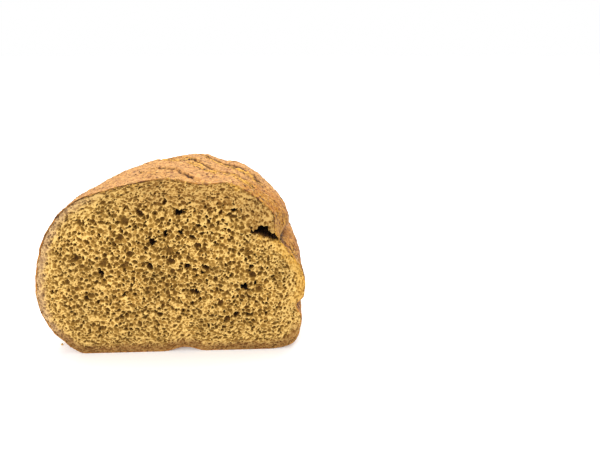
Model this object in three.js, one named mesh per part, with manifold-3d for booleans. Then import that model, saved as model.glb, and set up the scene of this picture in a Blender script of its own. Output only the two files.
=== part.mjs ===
// Half of a whole wheat hearth loaf, cut across and resting on its base.
// +X runs across the loaf, +Y along it from the cut face to the round end, +Z up. Millimetres.
// The origin is under the middle of the half loaf, on the surface it rests on.

import * as THREE from 'three';
import { ParametricGeometry } from 'three/addons/geometries/ParametricGeometry.js';
import { mergeVertices } from 'three/addons/utils/BufferGeometryUtils.js';
import Module from 'manifold-3d';

const wasm = await Module();
wasm.setup();

// Driving dimensions of the half loaf.
const HALF_LENGTH = 151; // cut face to round end
const END_HEIGHT = 38; // height of the round end's furthest point
const SHOULDER_DROP = 5.3; // how much lower the right shoulder lies behind the cut
const FLAT_BASE_SHARE = 0.35; // share of the length behind which the base starts to rise

// The cut section, anticlockwise from the left end of the base, seen facing the cut: [across, up].
// The base has a low arch and the right side a small fold, and both fade behind the cut.
const BASE = [[-50, -0.5], [-30, -0.7], [-10, -0.4], [3, 2.8], [15, -0.4], [33, -0.7]];
const BASE_BEHIND = [[-50, -0.5], [-30, -0.7], [-12, -0.4], [3, -0.4], [17, -0.4], [33, -0.7]];
const RIGHT_SIDE = [[46, -0.2], [57, 1.4], [62.8, 5], [65.2, 12], [65.9, 20.5], [63.3, 27.2], [66.8, 32.5], [68, 41]];
const RIGHT_BEHIND = [[46, -0.2], [56, 2], [61.8, 6.2], [65, 12.5], [66.6, 19], [67.2, 26], [67.2, 33], [66.4, 41]];
const ARCH_LENGTH = 60;
const FOLD_LENGTH = 26;
const TOP = [[45, 87.1], [33, 94.3], [20, 94.4], [3, 97], [-15, 94.4], [-32, 89.9], [-45, 84]];
const LEFT_SIDE = [[-55.5, 73], [-63, 59], [-67.7, 44], [-69, 31], [-66.3, 18], [-60, 7.5]];

// The side split: a low bulge, the crease above it and the ear that hangs over the crease.
// It opens behind the cut and heals again towards the round end.
const SPLIT_AT_CUT = [[65.2, 50], [60.2, 57.4], [56, 64.4], [53.2, 70.5], [52.4, 79]];
const SPLIT_WIDEST = [[65.2, 49], [62.4, 57], [56.8, 62], [60.5, 68.5], [56.6, 79]];
const SPLIT_HEALED = [[63.8, 46], [61.2, 53], [59.6, 60], [58, 68], [54.3, 77]];
const SPLIT_WIDEST_AT = 22; // from the cut
const SPLIT_HEALED_AT = 100;

// How many grid cells run round each stretch of the section, and along the loaf.
const STRETCHES = [
  { points: BASE.length, cells: 12 },
  { points: RIGHT_SIDE.length + SPLIT_AT_CUT.length, cells: 24 },
  { points: TOP.length, cells: 36 },
  { points: LEFT_SIDE.length, cells: 12 },
];
const AROUND = STRETCHES.reduce((sum, stretch) => sum + stretch.cells, 0);
const BODY_ROWS = 34; // even rows from the cut face
const END_ROWS = 6; // rows that close in over the round end
const BODY_SHARE = 0.86; // share of the length that the even rows cover

// The baker's slashes lie at a slant across the top, an even pitch apart.
const SLASH_TURN = THREE.MathUtils.degToRad(139); // from +X, seen from above
const SLASH_HALF_WIDTH = 6.5;
const SLASH_DEPTH = 2.1;
const LIP_HEIGHT = 1.5;
const LIP_WIDTH = 2.4;
const SLASHES = [
  { across: 10, along: 4, halfLength: 36 },
  { across: 12, along: 38.5, halfLength: 44 },
  { across: 20, along: 68, halfLength: 36 },
  { across: 13, along: 107, halfLength: 24 },
];

// Unevenness of the crust: slow swells of the hand-shaped dough.
const SWELL_HEIGHT = 0.5;
const SWELL_LENGTH = 34;

// Tears and large pores of the crumb that show on the cut face: place, half sizes, slant in degrees.
const TEARS = [
  { across: 46.8, up: 69.6, half: [3.8, 2.1], depth: 5, slant: -8 },
  { across: 51.4, up: 66.9, half: [3.9, 1.9], depth: 5, slant: -27 },
  { across: 36.9, up: 39.1, half: [1.6, 2.1], depth: 3, slant: 10 },
  { across: 7.8, up: 80.5, half: [3.1, 1.3], depth: 3, slant: -5 },
  { across: -7.1, up: 65.2, half: [1.9, 1.8], depth: 3, slant: 30 },
  { across: 8.5, up: 51.2, half: [1.4, 1.6], depth: 2.5, slant: 20 },
  { across: -19.5, up: 75.9, half: [2.3, 2.3], depth: 2.2, slant: 0 },
  { across: -45.9, up: 57.3, half: [1.5, 2.0], depth: 2.5, slant: 10 },
];
const PORE_COUNT = 46;
const PORE_RADIUS = [1.3, 2.5]; // smallest and largest half size
const PORE_GAP = 1.2; // least crumb left between two pores
const RIM_GAP = 5; // crumb left between pores and crust
const FINE_PIT = 2.1; // half size above which a pit gets rounder sides
const CRUMB_CENTRE_UP = 46;

// Coarse bran and crust flakes that stand on the crust.
const FLAKE_COUNT = 72;
const FLAKE_HALF = [1.5, 1.05, 0.6]; // long, broad and thick half sizes
const LIP_FLAKE_SHARE = 0.6; // share of the flakes that lie along the slashes
const RAY_START = 200; // how far outside the loaf a flake's ray starts

const clamp = THREE.MathUtils.clamp;
const lerp = THREE.MathUtils.lerp;
const smooth = (value, from, to) => THREE.MathUtils.smoothstep(value, from, to);

/** Repeatable random numbers from 0 to 1. */
function seededRandom(seed) {
  let state = seed;
  return () => {
    state = (state * 1664525 + 1013904223) % 4294967296;
    return state / 4294967296;
  };
}

/** Points part of the way from one list to another. */
function blend(from, to, share) {
  return from.map((point, i) => point.map((value, axis) => lerp(value, to[i][axis], share)));
}

/** The closed section curve at a distance from the cut, before it narrows towards the round end. */
function sectionCurve(fromCut) {
  const opening = smooth(fromCut, 0, SPLIT_WIDEST_AT);
  const healing = smooth(fromCut, SPLIT_WIDEST_AT, SPLIT_HEALED_AT);
  const base = blend(BASE, BASE_BEHIND, smooth(fromCut, 0, ARCH_LENGTH));
  const right = blend(RIGHT_SIDE, RIGHT_BEHIND, smooth(fromCut, 0, FOLD_LENGTH));
  const split = blend(blend(SPLIT_AT_CUT, SPLIT_WIDEST, opening), SPLIT_HEALED, healing);
  const outline = [...base, ...right, ...split, ...TOP, ...LEFT_SIDE];
  const points = outline.map(([across, up]) => new THREE.Vector3(across, 0, up));
  return new THREE.CatmullRomCurve3(points, true, 'catmullrom', 0.5);
}

/** Turns an even step round the section into a place on its curve, so that each stretch gets its own cells. */
function placeOnCurve(step) {
  const total = STRETCHES.reduce((sum, stretch) => sum + stretch.points, 0);
  let cellsBefore = 0;
  let pointsBefore = 0;
  for (const { points, cells } of STRETCHES) {
    if (step <= cellsBefore + cells) {
      return (pointsBefore + ((step - cellsBefore) / cells) * points) / total;
    }
    cellsBefore += cells;
    pointsBefore += points;
  }
  return 1;
}

/** Height of the slashes' lips and hollows at a place on the top of the loaf. */
function slashRelief(across, fromCut) {
  let height = 0;
  for (const slash of SLASHES) {
    const dx = across - slash.across;
    const dy = fromCut - slash.along;
    const along = dx * Math.cos(SLASH_TURN) + dy * Math.sin(SLASH_TURN);
    const beside = -dx * Math.sin(SLASH_TURN) + dy * Math.cos(SLASH_TURN);
    const leaf = 1 - (along / slash.halfLength) ** 2;
    if (leaf <= 0) continue;
    const halfWidth = SLASH_HALF_WIDTH * Math.sqrt(leaf);
    const inside = clamp(1 - (beside / halfWidth) ** 2, 0, 1);
    const lip = Math.exp(-(((Math.abs(beside) - halfWidth) / LIP_WIDTH) ** 2));
    height += Math.sqrt(leaf) * (LIP_HEIGHT * lip - SLASH_DEPTH * inside);
  }
  return height;
}

/** Slow swells over the whole crust. */
function swell(across, fromCut, up) {
  const turn = (Math.PI * 2) / SWELL_LENGTH;
  const waves = Math.sin(across * turn * 0.8 + fromCut * turn * 0.5 + 1)
    + Math.sin(fromCut * turn * 0.9 - up * turn * 0.6 + 2.4);
  return (SWELL_HEIGHT / 2) * waves;
}

/** A point of the crust, at a place on the section curve and a distance from the cut. */
function crustPoint(curvePlace, fromCut, target) {
  const share = clamp(fromCut / HALF_LENGTH, 0, 1);
  sectionCurve(fromCut).getPoint(curvePlace % 1, target);
  const { x, z } = target;

  const back = smooth(fromCut, 0, 50);
  const shoulder = SHOULDER_DROP * back * smooth(x, 4, 34) * smooth(z, 40, 80);
  const radius = Math.hypot(x, z - CRUMB_CENTRE_UP);
  const raised = z > 66 ? slashRelief(x, fromCut) * smooth(z, 66, 80) * smooth(fromCut, -4, 8) : 0;
  const uneven = swell(x, fromCut, z) * smooth(z, 0, 25) * smooth(fromCut, 0, 20);
  const grow = 1 + (raised + uneven) / radius;

  // The round end: width, upper height and base each close in by a superellipse.
  const endShare = clamp((share - FLAT_BASE_SHARE) / (1 - FLAT_BASE_SHARE), 0, 1);
  const widthLeft = (1 - share ** 2.9) ** (1 / 1.94);
  const upperLeft = (1 - share ** 1.85) ** (1 / 2.86);
  const lowerLeft = (1 - endShare ** 3) ** (1 / 2);
  const heightLeft = lerp(lowerLeft, upperLeft, smooth(z, 20, 56));

  // The base is pressed flat where it rests.
  const upNow = CRUMB_CENTRE_UP + (z - CRUMB_CENTRE_UP) * grow - shoulder;
  return target.set(
    x * grow * widthLeft,
    fromCut,
    Math.max(END_HEIGHT + (upNow - END_HEIGHT) * heightLeft, 0),
  );
}

/** Distance from the cut of a row of the grid. */
function rowDistance(row) {
  if (row <= BODY_ROWS) return HALF_LENGTH * BODY_SHARE * (row / BODY_ROWS);
  const turn = ((row - BODY_ROWS) / END_ROWS) * (Math.PI / 2);
  return HALF_LENGTH * (BODY_SHARE + (1 - BODY_SHARE) * Math.sin(turn));
}

/** The whole skin: the flat cut face is the first ring of cells, and the crust all the others. */
function skinGeometry() {
  const rows = BODY_ROWS + END_ROWS;
  const skin = new ParametricGeometry((u, v, target) => {
    const row = Math.round(v * (rows + 1)) - 1;
    if (row < 0) return target.set(0, 0, CRUMB_CENTRE_UP);
    return crustPoint(placeOnCurve(u * AROUND), rowDistance(row), target);
  }, AROUND, rows + 1);
  return welded(skin);
}

/** A geometry of shared vertices alone, without the flat triangles at the poles. */
function welded(geometry) {
  geometry.deleteAttribute('normal');
  geometry.deleteAttribute('uv');
  const merged = mergeVertices(geometry, 1e-3);
  const index = [];
  for (let i = 0; i < merged.index.count; i += 3) {
    const corners = [0, 1, 2].map((k) => merged.index.getX(i + k));
    if (new Set(corners).size === 3) index.push(...corners);
  }
  merged.setIndex(index);
  return merged;
}

/** A manifold solid from a closed geometry, turned outside out if its faces point in. */
function toSolid(geometry) {
  const vertProperties = new Float32Array(geometry.attributes.position.array);
  const triVerts = new Uint32Array(geometry.index.array);
  if (signedVolume(vertProperties, triVerts) < 0) {
    for (let i = 0; i < triVerts.length; i += 3) {
      [triVerts[i + 1], triVerts[i + 2]] = [triVerts[i + 2], triVerts[i + 1]];
    }
  }
  return new wasm.Manifold(new wasm.Mesh({ numProp: 3, vertProperties, triVerts }));
}

/** Volume inside a mesh, negative where its faces point in. */
function signedVolume(vertices, triangles) {
  const corner = (i) => new THREE.Vector3().fromArray(vertices, triangles[i] * 3);
  let sum = 0;
  for (let i = 0; i < triangles.length; i += 3) {
    sum += corner(i).dot(corner(i + 1).cross(corner(i + 2))) / 6;
  }
  return sum;
}

/** A pit to cut from the face: an egg-shaped hollow whose middle lies on the cut plane. */
function pitSolid({ across, up, half, depth, slant }) {
  const detail = Math.max(...half) > FINE_PIT ? 1 : 0;
  const pit = welded(new THREE.IcosahedronGeometry(1, detail));
  pit.scale(half[0], depth, half[1]);
  pit.rotateY(-THREE.MathUtils.degToRad(slant));
  pit.translate(across, 0, up);
  return toSolid(pit);
}

/** The nearest of many points round the cut section: its distance and the slant of the crust there. */
function nearestCrust(outline, across, up) {
  let nearest = { distance: Infinity, slant: 0 };
  outline.forEach((point, i) => {
    const distance = Math.hypot(point.x - across, point.z - up);
    if (distance >= nearest.distance) return;
    const next = outline[(i + 1) % outline.length];
    const slant = THREE.MathUtils.radToDeg(Math.atan2(next.z - point.z, next.x - point.x));
    nearest = { distance, slant };
  });
  return nearest;
}

/** Seeded pores, spread evenly over the crumb and drawn out along the nearest crust. */
function crumbPores() {
  const outline = sectionCurve(0).getPoints(180).slice(1);
  const random = seededRandom(11);
  const placed = [...TEARS];
  for (let tries = 0; placed.length < TEARS.length + PORE_COUNT && tries < 4000; tries += 1) {
    const across = lerp(-69, 68, random());
    const up = lerp(0, 97, random());
    const size = lerp(PORE_RADIUS[0], PORE_RADIUS[1], random() ** 2);
    const crust = nearestCrust(outline, across, up);
    const inside = Math.hypot(across / 68, (up - CRUMB_CENTRE_UP) / 50) < 0.97;
    const clear = placed.every((other) => {
      const reach = Math.max(...other.half) + size * 1.25 + PORE_GAP;
      return Math.hypot(other.across - across, other.up - up) > reach;
    });
    if (!clear || !inside || crust.distance < RIM_GAP + size) continue;
    const stretch = lerp(1.3, 1, smooth(crust.distance, 5, 30));
    placed.push({ across, up, half: [size * stretch, size * 0.85], depth: size, slant: crust.slant });
  }
  return placed;
}

/** A ray at the crust: from above onto a slash's lip, or from any side above the base. */
function flakeRay(random, onLip) {
  const ray = new THREE.Ray();
  if (onLip) {
    const slash = SLASHES[Math.floor(random() * SLASHES.length)];
    const along = (random() * 2 - 1) * slash.halfLength * 0.9;
    const edge = SLASH_HALF_WIDTH * Math.sqrt(1 - (along / slash.halfLength) ** 2);
    const beside = (random() < 0.5 ? -1 : 1) * (edge + (random() - 0.5) * 3);
    const across = slash.across + along * Math.cos(SLASH_TURN) - beside * Math.sin(SLASH_TURN);
    const fromCut = slash.along + along * Math.sin(SLASH_TURN) + beside * Math.cos(SLASH_TURN);
    ray.origin.set(across, fromCut, RAY_START);
    ray.direction.set(0, 0, -1);
    return ray;
  }
  const turn = lerp(-0.2, Math.PI + 0.2, random());
  const aim = new THREE.Vector3(0, lerp(5, 110, random()), CRUMB_CENTRE_UP);
  const backward = aim.y > 80 ? random() * 1.5 : 0;
  const side = new THREE.Vector3(Math.cos(turn), backward, Math.sin(turn)).normalize();
  ray.origin.copy(aim).addScaledVector(side, RAY_START);
  ray.direction.copy(side).negate();
  return ray;
}

/** Seeded flakes: most along the slashes' lips, the rest over the whole crust above the base. */
function branFlakes(skin) {
  const random = seededRandom(5);
  const caster = new THREE.Raycaster();
  const crust = new THREE.Mesh(skin, new THREE.MeshBasicMaterial({ side: THREE.DoubleSide }));
  const lipFlakes = Math.round(FLAKE_COUNT * LIP_FLAKE_SHARE);
  const flakes = [];
  for (let tries = 0; flakes.length < FLAKE_COUNT && tries < FLAKE_COUNT * 20; tries += 1) {
    caster.ray.copy(flakeRay(random, flakes.length < lipFlakes));
    const [hit] = caster.intersectObject(crust);
    if (!hit || hit.point.y < 4 || hit.point.z < 14) continue;
    if (flakes.some((other) => other.at.distanceTo(hit.point) < FLAKE_HALF[0] * 2.2)) continue;
    const size = lerp(0.75, 1.1, random());
    flakes.push({ at: hit.point, normal: hit.face.normal.clone(), size, spin: random() * Math.PI });
  }
  return flakes;
}

/** One flake: a flattened twenty-sided grain, half sunk in the crust. */
function flakeSolid({ at, normal, size, spin }) {
  const flake = welded(new THREE.IcosahedronGeometry(size, 0));
  flake.scale(...FLAKE_HALF);
  flake.rotateZ(spin);
  flake.applyQuaternion(new THREE.Quaternion().setFromUnitVectors(new THREE.Vector3(0, 0, 1), normal));
  flake.translate(at.x, at.y, at.z);
  return toSolid(flake);
}

/** The half loaf: the skin with its pores cut out and its flakes fused on. */
function loafGeometry() {
  const pits = wasm.Manifold.union(crumbPores().map(pitSolid));
  const skin = skinGeometry();
  const flakes = branFlakes(skin).map(flakeSolid);
  const loaf = wasm.Manifold.union([toSolid(skin).subtract(pits), ...flakes]);

  const mesh = loaf.getMesh();
  const geometry = new THREE.BufferGeometry();
  geometry.setAttribute('position', new THREE.BufferAttribute(mesh.vertProperties, 3));
  geometry.setIndex(new THREE.BufferAttribute(mesh.triVerts, 1));
  geometry.computeBoundingBox();
  const { min, max } = geometry.boundingBox;
  geometry.translate(-(min.x + max.x) / 2, -(min.y + max.y) / 2, -min.z);
  geometry.computeVertexNormals();
  return geometry;
}

const loaf = new THREE.Group();
const crust = new THREE.MeshStandardMaterial({ color: '#b07a34', roughness: 0.85, metalness: 0 });
const halfLoaf = new THREE.Mesh(loafGeometry(), crust);
halfLoaf.name = 'half_loaf';
loaf.add(halfLoaf);

export default loaf;
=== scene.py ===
"""Half of a whole wheat hearth loaf: a slashed, bran-flecked crust round an open crumb.

The loaf lies along +Y with its cut face towards -Y. Shapes are worked out in
millimetres, in the loaf's own terms: across, from the cut, and up. They become
metres in the frame's axes when their mesh is made.
"""

from __future__ import annotations

import logging
import math
from dataclasses import dataclass, field
from enum import Enum
from typing import Any

import bpy
import numpy as np
from mathutils import Matrix, Vector

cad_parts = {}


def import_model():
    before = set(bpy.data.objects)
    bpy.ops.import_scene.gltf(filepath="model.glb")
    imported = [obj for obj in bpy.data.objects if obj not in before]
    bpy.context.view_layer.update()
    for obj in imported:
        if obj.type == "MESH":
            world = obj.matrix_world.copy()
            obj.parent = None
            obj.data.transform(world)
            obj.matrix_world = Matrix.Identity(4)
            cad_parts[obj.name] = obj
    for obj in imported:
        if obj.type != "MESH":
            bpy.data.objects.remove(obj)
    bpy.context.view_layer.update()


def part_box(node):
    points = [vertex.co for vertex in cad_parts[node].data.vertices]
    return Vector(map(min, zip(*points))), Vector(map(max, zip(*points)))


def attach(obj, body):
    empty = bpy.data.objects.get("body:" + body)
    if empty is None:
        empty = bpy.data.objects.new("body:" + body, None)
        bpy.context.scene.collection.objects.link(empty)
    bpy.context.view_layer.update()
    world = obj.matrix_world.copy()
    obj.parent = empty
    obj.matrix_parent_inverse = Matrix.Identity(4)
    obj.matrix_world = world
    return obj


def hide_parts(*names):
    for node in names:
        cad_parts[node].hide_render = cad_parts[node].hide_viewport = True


LOG = logging.getLogger("hearth_loaf")
NODE = "half_loaf"
BODY = "root"
MM = 0.001
# Turns the noise lattice off the loaf's own axes, so that its cells don't line up with them.
LATTICE_TURN = np.array([[0.81, -0.52, 0.27], [0.49, 0.85, 0.18], [-0.32, -0.02, 0.95]])
# Moves every place of the loaf to the positive side of the lattice.
LATTICE_SHIFT = 517.3
# Odd numbers and shifts that scatter a lattice corner's own numbers into chance.
HASH_SEED_STRIDE, HASH_START = 2654435, 97
HASH_STRIDES = (73856093, 19349663, 83492791)
HASH_ROUNDS = ((13, 1274126177), (16, 668265263))
HASH_MASK = 0xFFFFFFFF
# A colour Mix node's sockets by number: several of them share a name with sockets for plain values.
FACTOR, COLOUR_A, COLOUR_B, MIXED = 0, 6, 7, 2

# Pairs of across and up, or of another two numbers that the field's comment names.
Curve = tuple[tuple[float, float], ...]
# Layers of noise: each one's height, the distance between its bumps, and its seed.
Layers = tuple[tuple[float, float, int], ...]


class Slot(Enum):
    """The record's material slots."""

    CRUST = "bread_crust"
    CRUMB = "bread_crumb"
    BRAN = "bran"


def linear(code: str) -> tuple[float, float, float, float]:
    """Turns an sRGB hex colour into linear red, green, blue and alpha.

    Args:
        code: Six hex digits, with or without a leading hash sign.

    Returns:
        The linear colour, with an alpha of 1.
    """
    digits = code.lstrip("#")
    channels = [int(digits[i : i + 2], 16) / 255 for i in (0, 2, 4)]
    red, green, blue = (
        c / 12.92 if c <= 0.04045 else ((c + 0.055) / 1.055) ** 2.4 for c in channels
    )
    return (red, green, blue, 1.0)


def smooth(value: Any, start: float, end: float) -> Any:
    """An S-shaped step of an array or number, from 0 at start to 1 at end."""
    share = np.clip((value - start) / (end - start), 0.0, 1.0)
    return share * share * (3 - 2 * share)


def lattice_noise(points: np.ndarray, cell: float, seed: int) -> np.ndarray:
    """Repeatable smooth noise from -1 to 1.

    Args:
        points: Places, with their two or three coordinates last.
        cell: Distance between bumps, in the points' unit.
        seed: Picks the pattern.

    Returns:
        One value for each point.
    """
    axes = points.shape[-1]
    scaled = points @ LATTICE_TURN[:axes, :axes] / cell + LATTICE_SHIFT
    corner = np.floor(scaled).astype(np.int64)
    share = scaled - corner
    share = share * share * (3 - 2 * share)
    total = np.zeros(points.shape[:-1])
    for offset in np.ndindex(*(2,) * axes):
        mixed = np.full(points.shape[:-1], seed * HASH_SEED_STRIDE + HASH_START, np.int64)
        weight = np.ones(points.shape[:-1])
        for axis, step in enumerate(offset):
            mixed = mixed ^ ((corner[..., axis] + step) * HASH_STRIDES[axis])
            weight = weight * (share[..., axis] if step else 1 - share[..., axis])
        for shift, factor in HASH_ROUNDS:
            mixed = (mixed ^ (mixed >> shift)) * factor & HASH_MASK
        total += weight * (mixed / 2.0**31 - 1)
    return total


def add_noise(values: Any, points: np.ndarray, layers: Layers) -> np.ndarray:
    """Adds layers of noise to values.

    Args:
        values: What the noise is added to: one number for each point, or one for all.
        points: Places, with their two or three coordinates last.
        layers: The layers of noise.

    Returns:
        One value for each point.
    """
    for height, cell, seed in layers:
        values = values + height * lattice_noise(points, cell, seed)
    return values


def add_node(
    tree: bpy.types.NodeTree,
    kind: str,
    settings: dict[Any, Any] | None = None,
    links: dict[Any, bpy.types.NodeSocket] | None = None,
) -> bpy.types.Node:
    """Adds a shader node with its settings and links.

    Args:
        tree: The node tree it goes into.
        kind: The node's Blender type.
        settings: Values by property name, or by input name or number. The
            value of color_ramp is a list of place and colour pairs.
        links: The socket that feeds each input, by input name or number.

    Returns:
        The new node.
    """
    node = tree.nodes.new(kind)
    for name, value in (settings or {}).items():
        if name == "color_ramp":
            stops = node.color_ramp.elements
            while len(stops) < len(value):
                stops.new(1.0)
            for stop, (place, colour) in zip(stops, value):
                stop.position = place
                stop.color = colour
        elif isinstance(name, str) and hasattr(node, name):
            setattr(node, name, value)
        else:
            node.inputs[name].default_value = value
    for name, socket in (links or {}).items():
        tree.links.new(socket, node.inputs[name])
    return node


# --------------------------------------------------------------------------- the loaf's form


@dataclass(frozen=True)
class Slash:
    """One of the baker's cuts across the top: its middle, half its length, how torn, its crease."""

    across: float
    along: float
    half_length: float
    torn: float = 1.0
    crease_width: float = 0.7


@dataclass(frozen=True)
class LoafForm:
    """The half loaf's form, in millimetres, as the frame's solid has it."""

    length: float = 151.0
    end_height: float = 38.0
    shoulder_drop: float = 5.3
    flat_base_share: float = 0.35
    centre_up: float = 46.0
    fine_steps: int = 60
    base: Curve = ((-50, -0.5), (-30, -0.7), (-10, -0.4), (3, 2.8), (15, -0.4), (33, -0.7))
    base_behind: Curve = ((-50, -0.5), (-30, -0.7), (-12, -0.4), (3, -0.4), (17, -0.4), (33, -0.7))
    right: Curve = (
        (46, -0.2), (57, 1.4), (62.8, 5), (65.2, 12), (65.9, 20.5), (63.3, 27.2), (66.8, 32.5), (68, 41),
    )
    right_behind: Curve = (
        (46, -0.2), (56, 2), (61.8, 6.2), (65, 12.5), (66.6, 19), (67.2, 26), (67.2, 33), (66.4, 41),
    )
    split_at_cut: Curve = ((65.2, 50), (60.2, 57.4), (56, 64.4), (53.2, 70.5), (52.4, 79))
    split_widest: Curve = ((65.2, 49), (62.4, 57), (56.8, 62), (60.5, 68.5), (56.6, 79))
    split_healed: Curve = ((63.8, 46), (61.2, 53), (59.6, 60), (58, 68), (54.3, 77))
    top: Curve = ((45, 87.1), (33, 94.3), (20, 94.4), (3, 97), (-15, 94.4), (-32, 89.9), (-45, 84))
    left: Curve = ((-55.5, 73), (-63, 59), (-67.7, 44), (-69, 31), (-66.3, 18), (-60, 7.5))
    base_up: float = 3.0
    flank_up: float = 60.0
    # How blunt the far end is: powers of the curves of its width, its upper and its lower half.
    end_width: tuple[float, float] = (2.9, 1.94)
    end_upper: tuple[float, float] = (1.85, 2.86)
    end_lower: tuple[float, float] = (3.0, 2.0)
    end_middle: tuple[float, float] = (20.0, 56.0)
    swell_pitch: float = 34.0
    swell_rise: float = 0.25
    arch_length: float = 60.0
    fold_length: float = 26.0
    split_widest_at: float = 22.0
    split_healed_at: float = 100.0
    slash_turn: float = math.radians(139)
    slash_half_width: float = 6.5
    slashes: tuple[Slash, ...] = (
        Slash(10, 4, 36, 0.2),
        Slash(12, 38.5, 44),
        Slash(20, 68, 36, 1.0, 1.3),
        Slash(13, 107, 24, 1.0, 1.1),
    )

    @property
    def crease_place(self) -> float:
        """Where on the section curve the side split's crease lies."""
        return len(self.base) + len(self.right) + 2.0

    @property
    def notch_place(self) -> float:
        """Where on the section curve the fold low on the right side lies."""
        return len(self.base) + 4.85

    def controls(self, from_cut: np.ndarray) -> np.ndarray:
        """The section's control points at each distance from the cut.

        Args:
            from_cut: Distances from the cut face.

        Returns:
            An array of distances by points by across and up.
        """
        def blend(first: Curve, second: Curve, share: np.ndarray) -> np.ndarray:
            """A curve part of the way from the first to the second."""
            return np.array(first) + (np.array(second) - np.array(first)) * share

        shares = from_cut[:, None, None]
        opening = smooth(shares, 0, self.split_widest_at)
        healing = smooth(shares, self.split_widest_at, self.split_healed_at)
        split = blend(self.split_at_cut, self.split_widest, opening)
        split = split + (np.array(self.split_healed) - split) * healing
        still = np.ones_like(shares)
        return np.concatenate([
            blend(self.base, self.base_behind, smooth(shares, 0, self.arch_length)),
            blend(self.right, self.right_behind, smooth(shares, 0, self.fold_length)),
            split,
            np.array(self.top) * still,
            np.array(self.left) * still,
        ], axis=1)

    def section(self, places: np.ndarray, from_cut: np.ndarray) -> tuple[np.ndarray, np.ndarray]:
        """Points on the section curves before the loaf narrows towards its round end.

        Args:
            places: Places round the curve, in control points.
            from_cut: Distances from the cut face.

        Returns:
            Across and up, each as distances by places.
        """
        controls = self.controls(from_cut)
        count = controls.shape[1]
        first = np.floor(places).astype(int)
        t = (places - first)[None, :, None]
        p0, p1, p2, p3 = (controls[:, (first + k) % count] for k in (-1, 0, 1, 2))
        curve = 0.5 * (
            2 * p1 + (p2 - p0) * t + (2 * p0 - 5 * p1 + 4 * p2 - p3) * t**2
            + (3 * p1 - p0 - 3 * p2 + p3) * t**3
        )
        return curve[..., 0], curve[..., 1]

    def even_places(self, cells: int, base_share: float = 1.0, flank_share: float = 1.0) -> np.ndarray:
        """Places round the cut section at even steps, wider ones along the base and flanks.

        Args:
            cells: How many steps go round.
            base_share: Density on the base as a share of that on top.
            flank_share: Density on the flanks as a share of that on top.

        Returns:
            One place for each step.
        """
        count = self.controls(np.zeros(1)).shape[1]
        fine = np.linspace(0, count, count * self.fine_steps + 1)
        across, up = self.section(fine, np.zeros(1))
        step = np.hypot(np.diff(across[0]), np.diff(up[0]))
        above_base = np.where(up[0, :-1] < self.flank_up, flank_share, 1.0)
        step = step * np.where(up[0, :-1] < self.base_up, base_share, above_base)
        run = np.concatenate([[0], np.cumsum(step)])
        return np.interp(np.linspace(0, run[-1], cells, endpoint=False), run, fine)

    def end_shares(self, from_cut: np.ndarray, up: np.ndarray) -> tuple[np.ndarray, np.ndarray]:
        """How much of its width and height the loaf keeps towards its round end.

        Args:
            from_cut: Distances from the cut.
            up: Heights on the section curve.

        Returns:
            Shares from 1 at the cut to 0 at the tip, of the width and of the height.
        """
        share = np.clip(from_cut / self.length, 0, 1)
        flat = self.flat_base_share
        end = np.clip((share - flat) / (1 - flat), 0, 1)
        curves = ((share, self.end_width), (share, self.end_upper), (end, self.end_lower))
        width, upper, lower = ((1 - along**power) ** (1 / root) for along, (power, root) in curves)
        return width, lower + (upper - lower) * smooth(up, *self.end_middle)

    def swell(self, across: np.ndarray, from_cut: np.ndarray, up: np.ndarray) -> np.ndarray:
        """Slow swells of the hand-shaped dough.

        Args:
            across: Places across the loaf.
            from_cut: Distances from the cut.
            up: Heights.

        Returns:
            Rises in millimetres, none at the cut and on the base.
        """
        turn = math.tau / self.swell_pitch
        waves = np.sin(across * turn * 0.8 + from_cut * turn * 0.5 + 1)
        waves = waves + np.sin(from_cut * turn * 0.9 - up * turn * 0.6 + 2.4)
        return self.swell_rise * waves * smooth(up, 0, 25) * smooth(from_cut, 0, 20)

    def outline(self, count: int) -> np.ndarray:
        """The cut section's outline as points of across and up."""
        across, up = self.section(self.even_places(count), np.zeros(1))
        return np.stack([across[0], np.maximum(up[0], 0)], axis=1)


@dataclass(frozen=True)
class FramePlace:
    """Turns the loaf's millimetres into the frame's metres and keeps them in the node's box."""

    low: Vector
    high: Vector
    middle_across: float

    def to_frame(self, points: np.ndarray) -> np.ndarray:
        """Places points of the loaf in the frame.

        Args:
            points: Across, from the cut, and up, in millimetres.

        Returns:
            The frame's coordinates in metres, none outside the node's box.
        """
        placed = points * MM
        placed[..., 0] += (self.low.x + self.high.x) / 2 - self.middle_across * MM
        placed[..., 1] += self.low.y
        placed[..., 2] += self.low.z
        return np.clip(placed, np.array(self.low), np.array(self.high))


def mesh_piece(
    name: str,
    points: np.ndarray,
    faces: list,
    zones: np.ndarray,
    material: bpy.types.Material,
) -> bpy.types.Object:
    """Makes a smooth mesh piece that rides on the body and stands for the node.

    Args:
        name: The piece's name.
        points: Vertex places in the frame, in metres.
        faces: Vertex numbers of each face.
        zones: Three or four values for each vertex, kept as the colour attribute "zones".
        material: The piece's finish.

    Returns:
        The new object.
    """
    mesh = bpy.data.meshes.new(name)
    mesh.from_pydata(points.tolist(), [], faces)
    mesh.update()
    mesh.polygons.foreach_set("use_smooth", [True] * len(mesh.polygons))
    attribute = mesh.attributes.new("zones", "FLOAT_COLOR", "POINT")
    colours = np.ones((len(points), 4), np.float32)
    colours[:, : zones.shape[1]] = zones
    attribute.data.foreach_set("color", colours.ravel())
    mesh.materials.append(material)
    piece = bpy.data.objects.new(name, mesh)
    bpy.context.scene.collection.objects.link(piece)
    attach(piece, BODY)
    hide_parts(NODE)
    LOG.info("%s: %d vertices, %d faces", name, len(points), len(faces))
    return piece


# --------------------------------------------------------------------------- crust


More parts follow.
